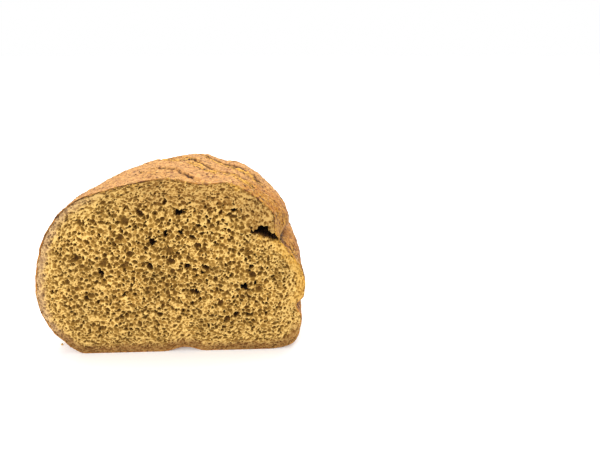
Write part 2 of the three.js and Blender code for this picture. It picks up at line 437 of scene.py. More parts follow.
@dataclass
class Crust:
    """The baked skin: slashes with lips, a side split, wrinkles, and a rim at the cut."""

    form: LoafForm
    place: FramePlace
    around: int = 384
    base_density: float = 0.3
    flank_density: float = 0.6
    slashed_rows: int = 172
    slashed_share: float = 0.58
    body_rows: int = 42
    end_rows: int = 30
    body_share: float = 0.86
    # A slash: a lip that stands up beyond its edge, a sunk opening that bulges up along its
    # middle, and a groove just inside the edge with painted shade in its crease, weaker on the far side.
    lip_rise: float = 0.8
    lip_beyond: float = 1.2
    lip_width: float = 1.7
    opening_sink: float = 0.8
    crown_rise: float = 0.5
    groove_inset: float = 0.4
    groove_sink: float = 1.1
    far_share: float = 0.6
    crease_shade_strength: float = 2.2
    slash_wobble: Layers = ((1.0, 8.0, 21), (0.6, 2.4, 22))
    crease_breaks: Layers = ((1.0, 2.6, 23), (0.5, 1.0, 24))
    # A low hump on top: its place across, from the cut, its reach and its rise.
    hump: tuple[float, float, float, float] = (-17.5, 52.0, 8.0, 1.5)
    # Widths of the side split's crease and of the low fold, in control points, and how far they sink.
    # Both carry painted shade.
    split_width: float = 0.16
    split_sink: float = 0.7
    notch_width: float = 0.36
    notch_sink: float = 0.9
    # The torn skin beside the cut.
    torn_side_reach: float = 15.0
    band_waver: Layers = ((7.0, 9.0, 12), (3.0, 3.0, 13))
    band_rags: Layers = ((6.0, 7.0, 8), (3.0, 2.2, 9))
    tatters: Layers = ((0.36, 1.9, 6), (0.26, 1.5, 3))
    # Torn threads: how many lie end to end in a control point, their slant, pitch and rise.
    thread_bends: Layers = ((0.9, 3.0, 14),)
    threads_per_point: float = 1.9
    thread_slant: float = 0.1
    thread_pitch: float = 1.4
    thread_rise: float = 0.45
    # The ear above the side split: how torn and how toasted it is.
    ear_opening: float = 0.45
    ear_toast: float = 0.6
    # The uneven skin everywhere, from wrinkles down to grain.
    grain: Layers = ((0.30, 5.5, 11), (0.24, 3.1, 4), (0.18, 1.5, 3), (0.10, 0.9, 5))
    # The cut edge of the crust, and the recess that the crumb lies in.
    cut_edge_depth: float = 0.35
    rim_width: float = 0.55
    rim_waver: float = 0.30
    rim_least: float = 0.15
    rim_depth: float = 0.34
    rim_toast: float = 0.35
    rim_waves: Layers = ((1.0, 4.0, 31), (0.6, 1.3, 32))
    rim_pits: Layers = ((0.14, 1.1, 33),)
    recess: float = 9.0
    # A torn flap of the top edge: its place across and its reach.
    torn_flap: tuple[float, float] = (34.5, 4.0)
    points: np.ndarray = field(init=False)
    normals: np.ndarray = field(init=False)
    zones: np.ndarray = field(init=False)

    def distances(self) -> np.ndarray:
        """Spaces the skin's rows: close over the slashes, and closer towards the round end.

        Returns:
            Each row's distance from the cut.
        """
        fine = np.linspace(0, self.slashed_share, self.slashed_rows + 1)
        even = np.linspace(self.slashed_share, self.body_share, self.body_rows + 1)[1:]
        turn = np.linspace(0, math.pi / 2, self.end_rows + 1)[1:-1]
        close = self.body_share + (1 - self.body_share) * np.sin(turn)
        return self.form.length * np.concatenate([fine, even, close])

    def slash_zones(self, across: np.ndarray, from_cut: np.ndarray) -> tuple[np.ndarray, ...]:
        """Relief and zones of the slashes.

        Args:
            across: Places across the loaf.
            from_cut: Distances from the cut.

        Returns:
            Height in millimetres, the torn opening, and the painted shade of the crease inside its lips.
        """
        form = self.form
        flat = np.stack([across, from_cut], axis=-1)
        wobble = add_noise(0.0, flat, self.slash_wobble)
        broken = smooth(add_noise(0.0, flat, self.crease_breaks), -0.5, 0.35)
        height, opening, crease = (np.zeros(across.shape) for _ in range(3))
        for slash in form.slashes:
            dx, dy = across - slash.across, from_cut - slash.along
            along = dx * math.cos(form.slash_turn) + dy * math.sin(form.slash_turn)
            beside = dy * math.cos(form.slash_turn) - dx * math.sin(form.slash_turn) + wobble
            leaf = np.clip(1 - (along / slash.half_length) ** 2, 0, 1)
            ends = np.sqrt(leaf)
            half_width = form.slash_half_width * ends
            past = np.abs(beside) - half_width
            near = np.where(beside > 0, 1.0, self.far_share)
            inside = smooth(-past, -0.4, 0.5) * (leaf > 0)
            lip = np.exp(-(((past - self.lip_beyond) / self.lip_width) ** 2))
            groove = np.exp(-(((past + self.groove_inset) / (slash.crease_width * near)) ** 2))
            crown = np.clip(1 - (beside / np.maximum(half_width, 0.1)) ** 2, 0, 1)
            sunk = inside * (self.opening_sink - self.crown_rise * crown)
            height += ends * (self.lip_rise * lip - sunk - self.groove_sink * near * groove)
            opening = np.maximum(opening, slash.torn * inside * smooth(ends, 0.15, 0.5))
            # Painted shade in the groove's crease, broken up along the slash.
            dark = self.crease_shade_strength * ends * near * groove * (0.15 + 0.85 * broken)
            crease = np.maximum(crease, np.minimum(dark, 1.0))
        hump_across, hump_along, reach, rise = self.hump
        height += rise * np.exp(-((across - hump_across) ** 2 + (from_cut - hump_along) ** 2) / reach**2)
        return height, opening, crease

    def skin(self) -> None:
        """Works out the skin's points, outward normals and zones."""
        form = self.form
        rows = self.distances()
        places = form.even_places(self.around, self.base_density, self.flank_density)
        across, up = form.section(places, rows)
        from_cut = np.repeat(rows[:, None], len(places), axis=1)
        shoulder = smooth(from_cut, 0, 50) * smooth(across, 4, 34) * smooth(up, 40, 80)
        up_now = up - form.shoulder_drop * shoulder
        width_share, height_share = form.end_shares(from_cut, up)
        # The base lies flat at 0 up to where it starts to round up towards the tip.
        floor = np.where(from_cut < form.length * form.flat_base_share, 0.0, -np.inf)
        base = np.stack([
            across * width_share,
            from_cut,
            np.maximum(form.end_height + (up_now - form.end_height) * height_share, floor),
        ], axis=-1)
        self.normals = self.grid_normals(base)

        top = smooth(up, 66, 80)
        height, opening, crease = self.slash_zones(across, from_cut)
        height = height * top * smooth(from_cut, -4, 8)
        opening, crease = opening * top, crease * top
        # Painted shade in the side split's crease and in the low fold, where the skin also sinks.
        split = np.exp(-(((places[None, :] - form.crease_place) / self.split_width) ** 2))
        split = split * (1 - smooth(from_cut, 60, form.split_healed_at))
        notch = np.exp(-(((places[None, :] - form.notch_place) / self.notch_width) ** 2))
        notch = notch * (1 - smooth(from_cut, 5, 22))
        crease = np.maximum(np.maximum(crease, split), notch)
        band, ear = self.torn_side(base, across, up)
        opened_ear = self.ear_opening * ear * (1 - smooth(from_cut, 8, 30))
        opening = np.maximum(opening, np.maximum(band, opened_ear))
        coarse = lattice_noise(base, 1.5, 3)
        grain = add_noise(0.0, base, self.grain)
        # Torn threads run round the loaf: long that way, and thin along it.
        turned = add_noise(from_cut, base, self.thread_bends)
        weave = np.stack([
            places[None, :] * self.threads_per_point + self.thread_slant * turned,
            turned / self.thread_pitch,
        ], axis=-1)
        threads = lattice_noise(weave, 1.0, 7)
        rough = opening * (add_noise(0.0, base, self.tatters) + self.thread_rise * threads)
        # Painted shade between the torn threads, where they part.
        thread_gap_shade = opening * (1 - smooth(threads + 0.5 * coarse, -0.45, 0.15))
        opening = opening * smooth(lattice_noise(base, 3.4, 10) + 0.5 * coarse, -0.75, 0.25)
        above_base = smooth(up, 0.5, 5)
        relief = height + form.swell(across, from_cut, up) - self.split_sink * split
        relief = relief + (grain + rough) * above_base - self.notch_sink * notch * smooth(from_cut, 0, 3)
        self.points = base + self.normals * relief[..., None]
        toast = np.maximum(smooth(-self.normals[..., 2], -0.8, -0.15), self.ear_toast * ear)
        # Zones: torn opening, painted crease shade, toast, and 1 less the painted shade between torn threads.
        self.zones = np.stack([opening, crease, toast, 1 - (0.5 + 0.45 * band) * thread_gap_shade], axis=-1)

    def torn_side(
        self, base: np.ndarray, across: np.ndarray, up: np.ndarray
    ) -> tuple[np.ndarray, np.ndarray]:
        """The skin that tore open beside the cut, and the ear above the side split.

        Args:
            base: The skin's places before any relief.
            across: Places across the section curve.
            up: Heights on the section curve.

        Returns:
            Amounts from 0 to 1 of torn band and of ear.
        """
        from_cut = base[..., 1]
        waver = add_noise(0.0, base, self.band_waver)
        side = smooth(across, 40, 52) * smooth(up + waver, 34, 42) * (1 - smooth(up - waver, 62, 72))
        # The torn skin reaches furthest back beside the split and thins out below it.
        reach = self.torn_side_reach * (0.35 + 0.85 * smooth(up, 36, 56))
        ragged = add_noise(from_cut, base, self.band_rags)
        band = side * (1 - smooth(ragged / reach, 0.3, 1.1))
        ear = smooth(across, 32, 46) * smooth(up, 52, 62) * (1 - smooth(from_cut, 25, 60))
        return band, ear

    @staticmethod
    def grid_normals(grid: np.ndarray) -> np.ndarray:
        """Outward normals of a grid that closes round.

        Args:
            grid: Points, as rows by places round.

        Returns:
            One unit normal for each point.
        """
        around = np.roll(grid, -1, axis=1) - np.roll(grid, 1, axis=1)
        along = np.gradient(grid, axis=0)
        normals = np.cross(along, around)
        normals /= np.maximum(np.linalg.norm(normals, axis=-1, keepdims=True), 1e-9)
        return normals

    def rim_rings(self) -> tuple[list[np.ndarray], list[np.ndarray]]:
        """Rings from the outline inwards: over the cut edge of the crust and down into the recess.

        Returns:
            The rings' points and their zones, from the deepest one out to the skin.
        """
        outline = self.points[0].copy()
        tangent = np.roll(outline, -1, axis=0) - np.roll(outline, 1, axis=0)
        inward = np.stack([-tangent[:, 2], np.zeros(len(outline)), tangent[:, 0]], axis=1)
        inward /= np.linalg.norm(inward, axis=1, keepdims=True)
        waver = add_noise(0.0, outline, self.rim_waves)
        width = np.maximum(self.rim_width + self.rim_waver * waver, self.rim_least)
        depths = add_noise(self.rim_depth, outline, self.rim_pits)
        across, up = outline[:, 0], outline[:, 2]
        broken = smooth(lattice_noise(outline, 3.0, 34), -0.5, 0.3)
        dark = (0.25 + 0.6 * broken) * smooth(up, 60, 74) + 0.22 * (1 - smooth(up, 3, 12))
        torn = smooth(across, 40, 52) * smooth(up, 24, 36) * (1 - smooth(up, 68, 74))
        flap_middle, flap_reach = self.torn_flap
        torn = np.maximum(torn, np.exp(-(((across - flap_middle) / flap_reach) ** 2)) * smooth(up, 60, 70))
        toast, whole = np.full(len(outline), self.rim_toast), np.ones(len(outline))
        rings, zones = [], []
        # The recess behind the rim: how far inside the rim each ring lies, and how deep. Both rings
        # take full painted shade, so that any of the recess that shows is dark.
        for extra, depth in ((1.2, self.recess), (0.45, 1.8)):
            ring = outline + inward * (width + extra)[:, None]
            ring[:, 1] = depth
            rings.append(ring)
            zones.append(np.stack([torn, whole, toast, whole], axis=1))
        # The cut edge itself: share of the rim's width, of its depth and of its dark colour.
        for share, depth_share, dark_share in ((1, 0.8, 1.0), (0.5, 0.8, 1.0), (0.12, 1.1, 0.4)):
            ring = outline + inward * (width * share)[:, None]
            ring[:, 1] = depths * depth_share
            rings.append(ring)
            zones.append(np.stack([torn, dark * (1 - torn) * dark_share, toast, whole], axis=1))
        return rings, zones

    def build(self, material: bpy.types.Material) -> bpy.types.Object:
        """Builds the closed crust.

        Args:
            material: The crust's finish.

        Returns:
            The crust object.
        """
        self.skin()
        rings, ring_zones = self.rim_rings()
        skin = self.points.copy()
        skin[0, :, 1] = self.cut_edge_depth
        form = self.form
        rows = [*rings, *skin]
        centre = [[0.0, self.recess, form.centre_up]]
        tip = [[0.0, form.length, form.end_height]]
        points = np.concatenate([*rows, centre, tip])
        # The recess's middle takes full painted shade too; the round end's tip is toasted.
        zones = np.concatenate([*ring_zones, *self.zones, [[0, 1, 0.5, 1], [0, 0, 0.7, 1]]])
        faces = []
        count = self.around
        for row in range(len(rows) - 1):
            low, high = row * count, (row + 1) * count
            for i in range(count):
                j = (i + 1) % count
                faces.append((low + i, low + j, high + j, high + i))
        last = (len(rows) - 1) * count
        for i in range(count):
            j = (i + 1) % count
            faces.append((len(rows) * count, j, i))
            faces.append((len(rows) * count + 1, last + i, last + j))
        return mesh_piece("loaf_crust", self.place.to_frame(points), faces, zones, material)


# --------------------------------------------------------------------------- crumb


@dataclass(frozen=True)
class PoreTier:
    """Pores of one range of sizes: how many tries, and their radii as shares of the local size."""

    tries: int
    smallest: float
    largest: float


@dataclass(frozen=True)
class Tear:
    """A hole of the cut face that stands out: its place, half sizes, depth and slant in degrees."""

    across: float
    up: float
    long: float
    short: float
    depth: float
    slant: float


@dataclass
class Crumb:
    """The crumb behind the cut: a foam of egg-shaped pores that the knife has opened."""

    form: LoafForm
    place: FramePlace
    # The grid over the face, and how far inside the outline the crumb starts.
    grid_low: tuple[float, float] = (-69.5, 0.0)
    grid_high: tuple[float, float] = (69.5, 98.5)
    spacing: float = 0.36
    edge: float = 0.12
    outline_points: int = 420
    # The slab's sides: share of the face kept towards the centre, and how deep.
    drawn_in: Curve = ((0.965, 1.7), (0.92, 9.8))
    # Where pores are tried, across, up and deep, and how they are packed.
    face_low: tuple[float, float] = (-69.0, 0.0)
    face_high: tuple[float, float] = (69.0, 98.0)
    slab: tuple[float, float] = (-1.1, 2.4)
    seed: int = 7
    bin_size: float = 2.5
    edge_gap: float = 0.15
    rim_radius: float = 0.76
    centre_radius: float = 1.2
    packing: float = 0.66
    # Walls between pores: how thick, the share of them that is missing, how far past touching
    # two pores still share one, and how many times sight goes on through missing ones.
    wall: float = 0.24
    window_share: float = 0.08
    margin: float = 0.4
    sweeps: int = 3
    # A pore's stretch along the crust: everywhere, more where it is pressed, and by chance.
    stretch: tuple[float, float, float] = (1.06, 0.50, 0.12)
    # How far a pore leans by chance, in radians: anywhere, and more away from the crust.
    lean: tuple[float, float] = (0.14, 1.2)
    # How ragged the pores' walls and the tears' sides are, across and up.
    wall_waver: tuple[Layers, Layers] = (
        ((0.20, 1.3, 41), (0.10, 0.6, 42)), ((0.20, 1.3, 43), (0.10, 0.6, 44)),
    )
    tear_rags: tuple[Layers, Layers] = (
        ((0.8, 1.5, 45), (0.5, 0.8, 46)), ((0.8, 1.5, 47), (0.5, 0.8, 48)),
    )
    tint_rags: Layers = ((0.9, 2.6, 54), (0.5, 1.1, 55))
    # The face that the knife left between the pores, and how it sinks at the torn top.
    face_depth: float = 0.32
    least_depth: float = 0.02
    knife_marks: Layers = ((0.16, 9.0, 51), (0.12, 2.4, 52))
    fibres: Layers = ((0.13, 0.8, 53),)
    top_sink: float = 0.45
    # Depth at which the painted shade in a pore is darkest; the painted shade of a deep tear,
    # and the least depth at which a tear takes it.
    darkest: float = 4.0
    pit_shade: float = 4.0
    pit_depth: float = 2.2
    tiers: tuple[PoreTier, ...] = (
        PoreTier(70, 1.5, 1.8),
        PoreTier(9000, 1.0, 1.3),
        PoreTier(36000, 0.8, 1.0),
        PoreTier(90000, 0.45, 0.8),
    )
    # Torn yellow spots beside the crust: across, up and reach.
    torn_spots: tuple[tuple[float, float, float], ...] = (
        (32.5, 93.8, 1.8), (35.5, 92.2, 2.0), (-12.0, 94.0, 1.6), (58.0, 61.5, 4.0),
        (45.2, 66.6, 1.5), (48.8, 65.2, 1.5), (52.2, 64.2, 1.4),
    )
    tears: tuple[Tear, ...] = (
        Tear(43.4, 69.2, 2.4, 1.1, 4.5, 8),
        Tear(47.0, 70.2, 3.2, 2.6, 8.5, -8),
        Tear(51.0, 67.6, 3.6, 2.3, 8.5, -28),
        Tear(54.6, 65.6, 2.2, 1.1, 5.0, -8),
        Tear(36.9, 39.1, 1.6, 2.1, 6.0, 10),
        Tear(42.1, 41.3, 0.9, 1.0, 3.0, 0),
        Tear(7.2, 80.3, 2.4, 1.2, 5.0, -4),
        Tear(10.0, 81.2, 1.6, 0.8, 2.6, 14),
        Tear(-7.1, 65.2, 1.9, 1.8, 4.0, -40),
        Tear(-0.4, 68.8, 1.0, 1.7, 3.4, -20),
        Tear(6.8, 69.2, 1.1, 1.1, 3.0, 0),
        Tear(8.5, 51.2, 1.3, 1.6, 3.0, 20),
        Tear(15.7, 47.4, 1.0, 1.2, 2.8, 0),
        Tear(12.4, 45.5, 0.7, 1.6, 2.4, -28),
        Tear(-34.4, 48.2, 1.2, 1.5, 3.2, 10),
        Tear(-24.8, 35.9, 1.0, 0.8, 3.0, 20),
        Tear(-27.9, 23.3, 1.1, 0.9, 3.0, 10),
        Tear(-45.9, 57.3, 1.4, 1.9, 2.2, 10),
        Tear(-19.5, 75.9, 2.2, 2.4, 1.8, -30),
        Tear(-40.3, 75.2, 1.5, 1.6, 1.7, 0),
        Tear(-34.3, 76.1, 1.5, 1.6, 1.7, 0),
        Tear(-22.6, 67.6, 1.7, 1.9, 1.9, 0),
        Tear(0.5, 59.6, 2.1, 2.1, 1.6, 0),
        Tear(-32.5, 53.7, 2.3, 1.5, 1.7, 10),
        Tear(-22.5, 51.8, 1.6, 1.6, 1.8, 0),
        Tear(11.8, 36.7, 1.4, 1.6, 2.6, 10),
        Tear(22.5, 37.7, 1.3, 1.6, 2.2, 10),
        Tear(33.2, 80.4, 1.6, 0.9, 3.0, -20),
    )

    def crust_distance(self, across: np.ndarray, up: np.ndarray) -> tuple[np.ndarray, np.ndarray]:
        """Distance inwards from the outline, and the outline's slant at its nearest point.

        Args:
            across: Places across the face.
            up: Heights on the face.

        Returns:
            Distances, negative outside, and slants in radians.
        """
        outline = self.form.outline(self.outline_points)
        after = np.roll(outline, -1, axis=0)
        inside = np.zeros(across.shape, bool)
        best = np.full(across.shape, 1e9)
        slant = np.zeros(across.shape)
        for (x0, z0), (x1, z1) in zip(outline, after):
            run, rise = x1 - x0, z1 - z0
            share = ((across - x0) * run + (up - z0) * rise) / max(run**2 + rise**2, 1e-9)
            share = np.clip(share, 0, 1)
            away = np.hypot(across - x0 - share * run, up - z0 - share * rise)
            closer = away < best
            best[closer] = away[closer]
            slant[closer] = math.atan2(rise, run)
            # A line to the right of each place crosses the outline an odd number of times inside it.
            inside ^= ((z0 > up) != (z1 > up)) & (across < run * (up - z0) / (rise + 1e-12) + x0)
        return np.where(inside, best, -best), slant

    def grow_pores(self) -> np.ndarray:
        """Packs the pores, largest tier first, each drawn out along the nearest crust.

        Returns:
            Rows of across, up, depth of the middle, radius, stretch along the crust, and slant.
        """
        random = np.random.default_rng(self.seed)
        least, pressed_more, chance_more = self.stretch
        lean_anywhere, lean_inside = self.lean
        bins: dict[tuple[int, int], list[tuple[float, float, float, float]]] = {}
        pores = []
        for tier in self.tiers:
            spot = random.uniform(self.face_low, self.face_high, (tier.tries, 2))
            deep = random.uniform(*self.slab, tier.tries)
            share = random.uniform(tier.smallest, tier.largest, tier.tries)
            turn = random.normal(0, 1, tier.tries)
            inset, slant = self.crust_distance(spot[:, 0], spot[:, 1])
            local = self.rim_radius + (self.centre_radius - self.rim_radius) * smooth(inset, 2, 20)
            radius = share * local
            for k in np.flatnonzero(inset > self.edge_gap + 0.5 * radius):
                x, z = spot[k]
                y, r = deep[k], radius[k]
                home = (int(x // self.bin_size), int(z // self.bin_size))
                reach = self.packing * r
                crowded = any(
                    (x - a) ** 2 + (z - b) ** 2 + (y - c) ** 2 < (reach + self.packing * d) ** 2
                    for i in (-1, 0, 1) for j in (-1, 0, 1)
                    for a, b, c, d in bins.get((home[0] + i, home[1] + j), ())
                )
                if crowded:
                    continue
                bins.setdefault(home, []).append((x, z, y, r))
                near = 1 - smooth(inset[k], 3, 22)
                pressed = 0.25 + 0.75 * abs(math.cos(slant[k]))
                stretch = least + pressed_more * near * pressed + chance_more * abs(turn[k])
                lean = slant[k] + turn[k] * (lean_anywhere + lean_inside * (1 - near))
                pores.append((x, z, y, r, stretch, lean))
        table = np.array(pores)
        return table[np.argsort(table[:, 0])]

    def paint_cell(
        self, pore: np.ndarray, others: np.ndarray, walls: np.ndarray, dx: np.ndarray, dz: np.ndarray
    ) -> tuple[np.ndarray, np.ndarray]:
        """Where a cell of the foam is open along the lines of sight through a patch of the face.

        Args:
            pore: The cell's own row of the pores.
            others: Rows of its neighbours.
            walls: Wall thickness towards each neighbour.
            dx: Distances across from the cell's middle.
            dz: Distances up from the cell's middle.

        Returns:
            Depths at which the cell starts and ends; where it is closed the end comes first.
        """
        radius, stretch, lean = pore[3:6]
        along_scale, beside_scale = stretch, stretch**-0.6
        cos, sin = math.cos(lean), math.sin(lean)
        along = (dx * cos + dz * sin) / along_scale
        beside = (dz * cos - dx * sin) / beside_scale
        room = radius**2 - along**2 - beside**2
        half = np.sqrt(np.maximum(room, 0))
        start, end = np.where(room > 0, -half, 1.0), np.where(room > 0, half, -1.0)
        ox, oz, oy = others[:, 0] - pore[0], others[:, 1] - pore[1], others[:, 2] - pore[2]
        other_along = (ox * cos + oz * sin) / along_scale
        other_beside = (oz * cos - ox * sin) / beside_scale
        square = other_along**2 + other_beside**2 + oy**2
        limit = square - others[:, 3] ** 2 + radius**2 - walls * np.sqrt(square)
        cutting = limit < 2 * radius * np.sqrt(square)
        a, b, y, most = (
            row[cutting][:, None, None] for row in (other_along, other_beside, oy, limit)
        )
        bound = (most - 2 * (along * a + beside * b)) / (2 * np.where(np.abs(y) > 1e-3, y, 1e-3))
        behind = y[:, 0, 0] > 0
        end = np.minimum(end, bound[behind].min(axis=0, initial=np.inf))
        start = np.maximum(start, bound[~behind].max(axis=0, initial=-np.inf))
        return start + pore[2], end + pore[2]

    def depth_field(self, across: np.ndarray, up: np.ndarray) -> np.ndarray:
        """Depth of the opened foam behind the knife's plane, on an even grid.

        Args:
            across: Grid places across the face, rows by columns.
            up: Grid heights, rows by columns.

        Returns:
            Depths in millimetres, rows by columns.
        """
        flat = np.stack([across, up], axis=-1)
        seen_across = add_noise(across, flat, self.wall_waver[0])
        seen_up = add_noise(up, flat, self.wall_waver[1])
        corner = (across[0, 0], up[0, 0])
        pores = self.grow_pores()
        widest = 2 * pores[:, 3].max() + self.margin
        first = np.searchsorted(pores[:, 0], pores[:, 0] - widest)
        last = np.searchsorted(pores[:, 0], pores[:, 0] + widest)
        spans = []
        for index, pore in enumerate(pores):
            others = np.arange(first[index], last[index])
            away = np.linalg.norm(pores[others, :3] - pore[:3], axis=1)
            near = others[(away < pore[3] + pores[others, 3] + self.margin) & (others != index)]
            # Both cells of a pair make the same draw, so a wall that is missing is gone for both.
            draw = (np.minimum(near, index) * 7919 + np.maximum(near, index) * 104729) % 1000
            walls = np.where(draw < 1000 * self.window_share, 0.0, self.wall)
            window = self.window(pore[:2], pore[3] * pore[4] + 0.5, corner, across.shape)
            start, end = self.paint_cell(
                pore, pores[near], walls, seen_across[window] - pore[0], seen_up[window] - pore[1]
            )
            spans.append((start.min(), window, start, end))
        depth = np.zeros(across.shape)
        spans.sort(key=lambda span: span[0])
        for _ in range(self.sweeps):
            for _, window, start, end in spans:
                now = depth[window]
                opened = (start <= now + 0.05) & (end > now) & (end > start)
                now[opened] = end[opened]
        LOG.info("crumb: %d pores", len(pores))
        return depth

    def window(
        self, middle: np.ndarray, reach: float, corner: tuple[float, float], shape: tuple[int, ...]
    ) -> tuple[slice, slice]:
        """The part of the grid within reach of a place.

        Args:
            middle: The place's across and up.
            reach: How far away counts.
            corner: The grid's lowest across and up.
            shape: The grid's numbers of rows and columns.

        Returns:
            Its rows and its columns.
        """
        spans = []
        for place, start, most in ((middle[1], corner[1], shape[0]), (middle[0], corner[0], shape[1])):
            lowest = max(int((place - reach - start) / self.spacing), 0)
            spans.append(slice(lowest, min(int((place + reach - start) / self.spacing) + 2, most)))
        return spans[0], spans[1]

    def torn_depth(self, across: np.ndarray, up: np.ndarray) -> np.ndarray:
        """Depth of the tears and blown holes, with ragged sides.

        Args:
            across: Grid places across the face.
            up: Grid heights.

        Returns:
            Depths in millimetres, 0 outside the tears.
        """
        flat = np.stack([across, up], axis=-1)
        ragged_across = add_noise(across, flat, self.tear_rags[0])
        ragged_up = add_noise(up, flat, self.tear_rags[1])
        depth = np.zeros(across.shape)
        for tear in self.tears:
            dx, dz = ragged_across - tear.across, ragged_up - tear.up
            slant = math.radians(tear.slant)
            along = (dx * math.cos(slant) + dz * math.sin(slant)) / tear.long
            beside = (dz * math.cos(slant) - dx * math.sin(slant)) / tear.short
            depth = np.maximum(depth, tear.depth * np.sqrt(np.maximum(1 - along**2 - beside**2, 0)))
        return depth

    def edge_tints(self, across: np.ndarray, up: np.ndarray, inset: np.ndarray) -> tuple[np.ndarray, ...]:
        """How the crumb's colour changes towards the crust.

        Args:
            across: Grid places across the face.
            up: Grid heights.
            inset: Distances from the outline.

        Returns:
            Amounts from 0 to 1 of pinkish tan, brown (toasted near the crust, and only darker in a
            wide band under the top), and torn yellow.
        """
        flat = np.stack([across, up], axis=-1)
        ragged = add_noise(inset, flat, self.tint_rags)
        left = smooth(-across, 18, 52) * smooth(up, 2, 16)
        low = 1 - smooth(up, 8, 22)
        high = smooth(up, 58, 74)
        right = smooth(across, 40, 52) * smooth(up, 24, 36) * (1 - smooth(up, 66, 72))
        tan = left * (1 - smooth(ragged, 1.2, 6.0))
        # Toasted along the base, then thinly under the top and the left. The last, faint tint only
        # darkens the crumb in a wide band under the top.
        brown = np.maximum(low * (1 - smooth(ragged, 2.6, 7.0)), 0.85 * high * (1 - smooth(ragged, 0.2, 1.3)))
        brown = np.maximum(brown, 0.35 * left * (1 - smooth(ragged, 0.2, 1.4)))
        brown = np.maximum(brown, 0.48 * high * smooth(across, -32, -4) * (1 - smooth(ragged, 8, 18)))
        yellow = right * (1 - smooth(ragged, 2.5, 6.0))
        for spot_across, spot_up, reach in self.torn_spots:
            away = np.hypot(across - spot_across, up - spot_up) + 0.8 * (ragged - inset)
            yellow = np.maximum(yellow, 1 - smooth(away, 0.4 * reach, reach))
        return tan, brown * (1 - yellow), yellow

    def build(self, material: bpy.types.Material) -> bpy.types.Object:
        """Builds the closed slab of crumb.

        Args:
            material: The crumb's finish.

        Returns:
            The crumb object.
        """
        across, up = np.meshgrid(*(
            np.arange(low, high, self.spacing) for low, high in zip(self.grid_low, self.grid_high)
        ))
        inset, _ = self.crust_distance(across, up)
        torn = self.torn_depth(across, up)
        depth = np.maximum(self.depth_field(across, up) * smooth(inset, 0.1, 0.7), torn)
        tan, brown, yellow = (tint * (torn < 0.6) for tint in self.edge_tints(across, up, inset))
        flat = np.stack([across, up], axis=-1)
        knife = add_noise(0.0, flat, self.knife_marks)
        fibre = add_noise(0.0, flat, self.fibres)
        sunk = self.top_sink * smooth(up, 56, 70) * (1 - smooth(inset, 0.4, 1.2))
        front = np.maximum(depth + self.face_depth + knife + fibre + sunk, self.least_depth)
        # Painted shade: darker the deeper the knife's opening goes, and black in the deep tears.
        shade = np.where(torn > self.pit_depth, self.pit_shade, depth / self.darkest)

        solid = inset > self.edge
        cells = solid[:-1, :-1] & solid[1:, :-1] & solid[:-1, 1:] & solid[1:, 1:]
        used = np.zeros(solid.shape, bool)
        for rows in (slice(None, -1), slice(1, None)):
            for columns in (slice(None, -1), slice(1, None)):
                used[rows, columns] |= cells
        number = np.full(solid.shape, -1)
        number[used] = np.arange(used.sum())
        r, c = np.nonzero(cells)
        quads = np.stack([number[r, c], number[r, c + 1], number[r + 1, c + 1], number[r + 1, c]], axis=1)
        points = np.stack([across[used], front[used], up[used]], axis=1)
        zones = np.stack([shade[used], tan[used], brown[used], yellow[used]], axis=1)
        points, zones, sides = self.slab_sides(points, zones, self.boundary(quads))
        faces = [*quads.tolist(), *sides]
        return mesh_piece("loaf_crumb", self.place.to_frame(points), faces, zones, material)

    def slab_sides(
        self, points: np.ndarray, zones: np.ndarray, loop: list[int]
    ) -> tuple[np.ndarray, np.ndarray, list[tuple[int, ...]]]:
        """Closes the slab behind the face with sides and a back.

        The sides draw in behind the face, so that they stay under the crust where it dips.

        Args:
            points: Places of the face's vertices.
            zones: The vertices' zones.
            loop: Numbers of the vertices round the face's edge, in order.

        Returns:
            Places and zones with those of the sides added, and the faces of sides and back.
        """
        count = len(loop)
        centre = np.array([0.0, 0.0, self.form.centre_up])
        rings, faces, before, start = [], [], loop, len(points)
        for keep, behind in self.drawn_in:
            ring = centre + (points[loop] - centre) * keep
            ring[:, 1] = behind
            rings.append(ring)
            numbers = list(range(start, start + count))
            faces += [
                (before[i], numbers[i], numbers[(i + 1) % count], before[(i + 1) % count])
                for i in range(count)
            ]
            before, start = numbers, start + count
        faces.append(tuple(reversed(before)))
        points = np.concatenate([points, *rings])
        zones = np.concatenate([zones, *(zones[loop] for _ in rings)])
        return points, zones, faces

    @staticmethod
    def boundary(quads: np.ndarray) -> list[int]:
        """Finds the edge of a patch of quads.

        Args:
            quads: Vertex numbers of each quad.

        Returns:
            The numbers of the vertices round the patch's edge, in order.
        """
        edges = np.concatenate([np.stack([quads[:, k], quads[:, (k + 1) % 4]], axis=1) for k in range(4)])
        kept = set(map(tuple, edges.tolist()))
        after = {a: b for a, b in kept if (b, a) not in kept}
        start = min(after)
        loop = [start]
        while after[loop[-1]] != start:
            loop.append(after[loop[-1]])
        return loop


# --------------------------------------------------------------------------- bran flakes


@dataclass(frozen=True)
class FlakeSize:
    """Flakes of one size: how many, their radii, half their thickness, and the share of dark ones."""

    count: int
    radius: tuple[float, float]
    thick: float
    dark: float


